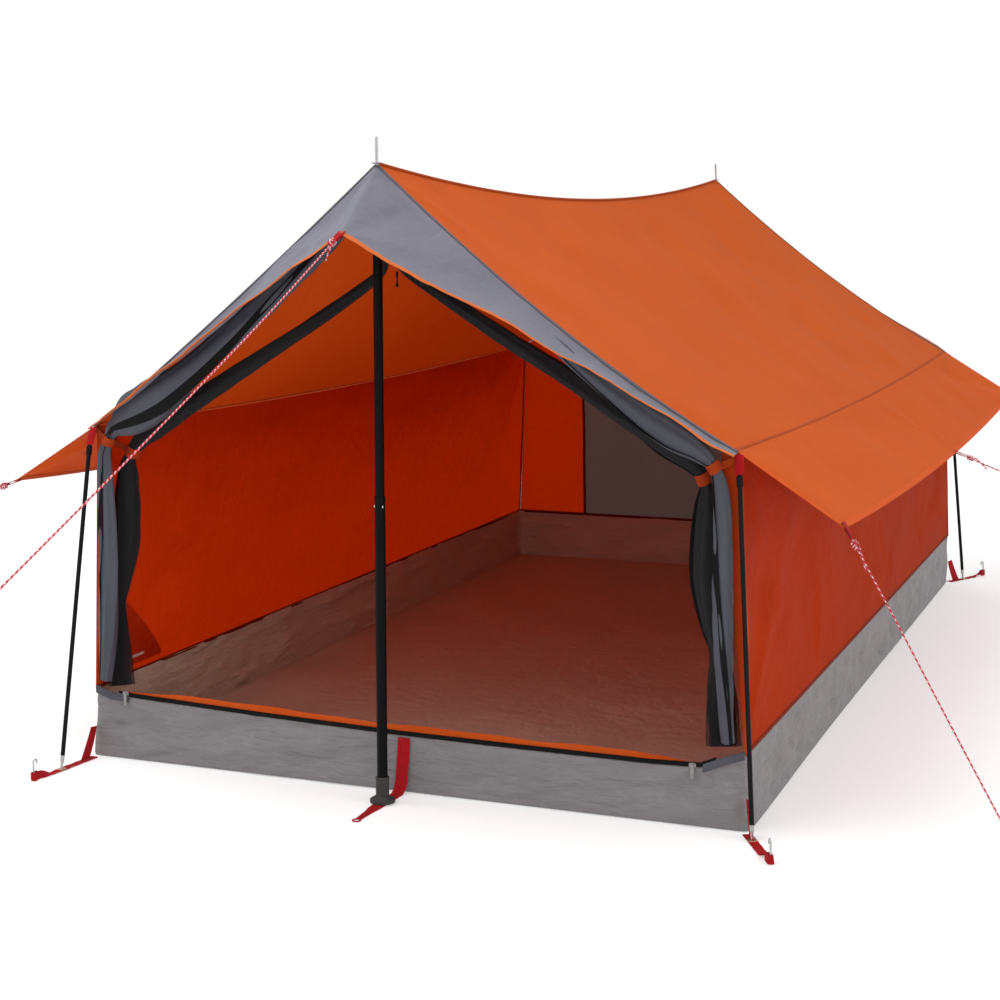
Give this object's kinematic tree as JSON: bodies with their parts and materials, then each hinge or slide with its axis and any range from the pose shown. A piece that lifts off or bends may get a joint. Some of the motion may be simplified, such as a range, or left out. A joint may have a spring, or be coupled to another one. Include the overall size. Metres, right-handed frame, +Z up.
{
  "type": "ridge tent",
  "caption": "Ridge tent with a bathtub floor, overhanging flysheet and hoods, standing on upright and corner poles, its mesh and outer doors rolled back, with guy ropes and pegs.",
  "frame": {"origin": "on the ground under the middle of the floor", "axes": "+X across the tent to the right seen from the door, +Y from the door towards the rear end, +Z up"},
  "size_m": [2.0138, 3.8266, 1.194],
  "materials": {
    "fly_orange": "coated taffeta, slight sheen",
    "hood_grey": "coated taffeta, slight sheen",
    "wall_orange": "coated taffeta, slight sheen",
    "wall_grey": "coated taffeta",
    "floor_grey": "woven groundsheet, matte",
    "door_mesh": "fine insect netting",
    "door_grey": "coated taffeta",
    "tie_orange": "flat webbing",
    "zip_black": "coil zip on woven tape",
    "zip_metal": "nickel plated",
    "cord_black": "braided cord",
    "webbing_red": "flat woven webbing",
    "rope_red": "braided, red with white flecks",
    "upright_black": "powder coated steel tube",
    "foot_black": "moulded",
    "spike_steel": "plated steel",
    "corner_pole_black": "wrapped fibreglass rod",
    "tip_steel": "plated steel ferrule",
    "peg_steel": "galvanised wire"
  },
  "bodies": {
    "tent": {"fly_left": "fly_orange", "fly_right": "fly_orange", "hood_front": "hood_grey", "hood_rear": "hood_grey", "wall_left": "wall_orange", "wall_right": "wall_orange", "wall_rear": "wall_grey", "floor_tub": "floor_grey", "door_mesh_left": "door_mesh", "door_mesh_right": "door_mesh", "door_outer_left": "door_grey", "door_outer_right": "door_grey", "door_tie_left": "tie_orange", "door_tie_right": "tie_orange", "door_zip": "zip_black", "strap_front_left": "webbing_red", "strap_front_right": "webbing_red", "strap_rear_left": "webbing_red", "strap_rear_right": "webbing_red", "strap_centre_front": "webbing_red", "strap_centre_rear": "webbing_red", "tab_hood_front": "webbing_red", "tab_hood_rear": "webbing_red", "tab_left_front": "webbing_red", "tab_left_mid": "webbing_red", "tab_left_rear": "webbing_red", "tab_right_front": "webbing_red", "tab_right_mid": "webbing_red", "tab_right_rear": "webbing_red", "guy_rope_front": "rope_red", "guy_rope_right_front": "rope_red", "guy_rope_right_mid": "rope_red", "guy_rope_left_front": "rope_red"},
    "upright_front": {"upright_front_lower": "upright_black", "upright_front_upper": "upright_black", "upright_front_spike": "spike_steel", "upright_front_foot": "foot_black"},
    "upright_rear": {"upright_rear_lower": "upright_black", "upright_rear_upper": "upright_black", "upright_rear_spike": "spike_steel", "upright_rear_foot": "foot_black"},
    "corner_pole_front_left": {"corner_pole_front_left": "corner_pole_black", "corner_tip_front_left": "tip_steel"},
    "corner_pole_front_right": {"corner_pole_front_right": "corner_pole_black", "corner_tip_front_right": "tip_steel"},
    "corner_pole_rear_left": {"corner_pole_rear_left": "corner_pole_black", "corner_tip_rear_left": "tip_steel"},
    "corner_pole_rear_right": {"corner_pole_rear_right": "corner_pole_black", "corner_tip_rear_right": "tip_steel"},
    "peg_front_left": {"peg_front_left": "peg_steel"},
    "peg_front_right": {"peg_front_right": "peg_steel"},
    "peg_rear_left": {"peg_rear_left": "peg_steel"},
    "peg_rear_right": {"peg_rear_right": "peg_steel"},
    "zip_slider_left": {"zip_slider_left": "zip_metal"},
    "zip_pull_left": {"zip_pull_left": "zip_metal"},
    "zip_slider_right": {"zip_slider_right": "zip_metal"},
    "zip_pull_right": {"zip_pull_right": "zip_metal"},
    "door_zip_pull": {"door_zip_pull": "cord_black"}
  },
  "joints": [
    {"name": "upright_front_swing", "type": "hinge", "parent": "tent", "child": "upright_front", "pos_m": [0, -1.272, 1.146], "axis": [-1, 0, 0], "range_deg": [0, 25]},
    {"name": "upright_rear_swing", "type": "hinge", "parent": "tent", "child": "upright_rear", "pos_m": [0, 1.06, 1.146], "axis": [1, 0, 0], "range_deg": [0, 15]},
    {"name": "corner_pole_front_left_tilt", "type": "hinge", "parent": "tent", "child": "corner_pole_front_left", "pos_m": [-0.66145, -1.3119, 0.0066], "axis": [1, 0, 0], "range_deg": [0, 80]},
    {"name": "corner_pole_front_right_tilt", "type": "hinge", "parent": "tent", "child": "corner_pole_front_right", "pos_m": [0.67042, -1.24141, 0.0066], "axis": [1, 0, 0], "range_deg": [0, 80]},
    {"name": "corner_pole_rear_left_tilt", "type": "hinge", "parent": "tent", "child": "corner_pole_rear_left", "pos_m": [-0.68466, 1.26554, 0.0066], "axis": [-1, 0, 0], "range_deg": [0, 80]},
    {"name": "corner_pole_rear_right_tilt", "type": "hinge", "parent": "tent", "child": "corner_pole_rear_right", "pos_m": [0.68466, 1.26554, 0.0066], "axis": [-1, 0, 0], "range_deg": [0, 80]},
    {"name": "peg_front_left_pull_out", "type": "slide", "parent": "tent", "child": "peg_front_left", "axis": [0, 0, 1], "range_m": [0, 0.06]},
    {"name": "peg_front_right_pull_out", "type": "slide", "parent": "tent", "child": "peg_front_right", "axis": [0, 0, 1], "range_m": [0, 0.06]},
    {"name": "peg_rear_left_pull_out", "type": "slide", "parent": "tent", "child": "peg_rear_left", "axis": [0, 0, 1], "range_m": [0, 0.06]},
    {"name": "peg_rear_right_pull_out", "type": "slide", "parent": "tent", "child": "peg_rear_right", "axis": [0, 0, 1], "range_m": [0, 0.06]},
    {"name": "zip_slider_left_run", "type": "slide", "parent": "tent", "child": "zip_slider_left", "axis": [0.9994, 0, -0.0357], "range_m": [0, 0.5453]},
    {"name": "zip_slider_right_run", "type": "slide", "parent": "tent", "child": "zip_slider_right", "axis": [-1, 0, 0.0054], "range_m": [0, 0.496]},
    {"name": "zip_pull_left_flip", "type": "hinge", "parent": "zip_slider_left", "child": "zip_pull_left", "pos_m": [-0.58, -1.2101, 0.13625], "axis": [-1, 0, 0], "range_deg": [0, 90]},
    {"name": "zip_pull_right_flip", "type": "hinge", "parent": "zip_slider_right", "child": "zip_pull_right", "pos_m": [0.556, -1.2101, 0.11252], "axis": [-1, 0, 0], "range_deg": [0, 90]},
    {"name": "door_zip_pull_swing", "type": "hinge", "parent": "tent", "child": "door_zip_pull", "pos_m": [0.01, -1.212, 0.956], "axis": [1, 0, 0], "range_deg": [-30, 30]}
  ]
}
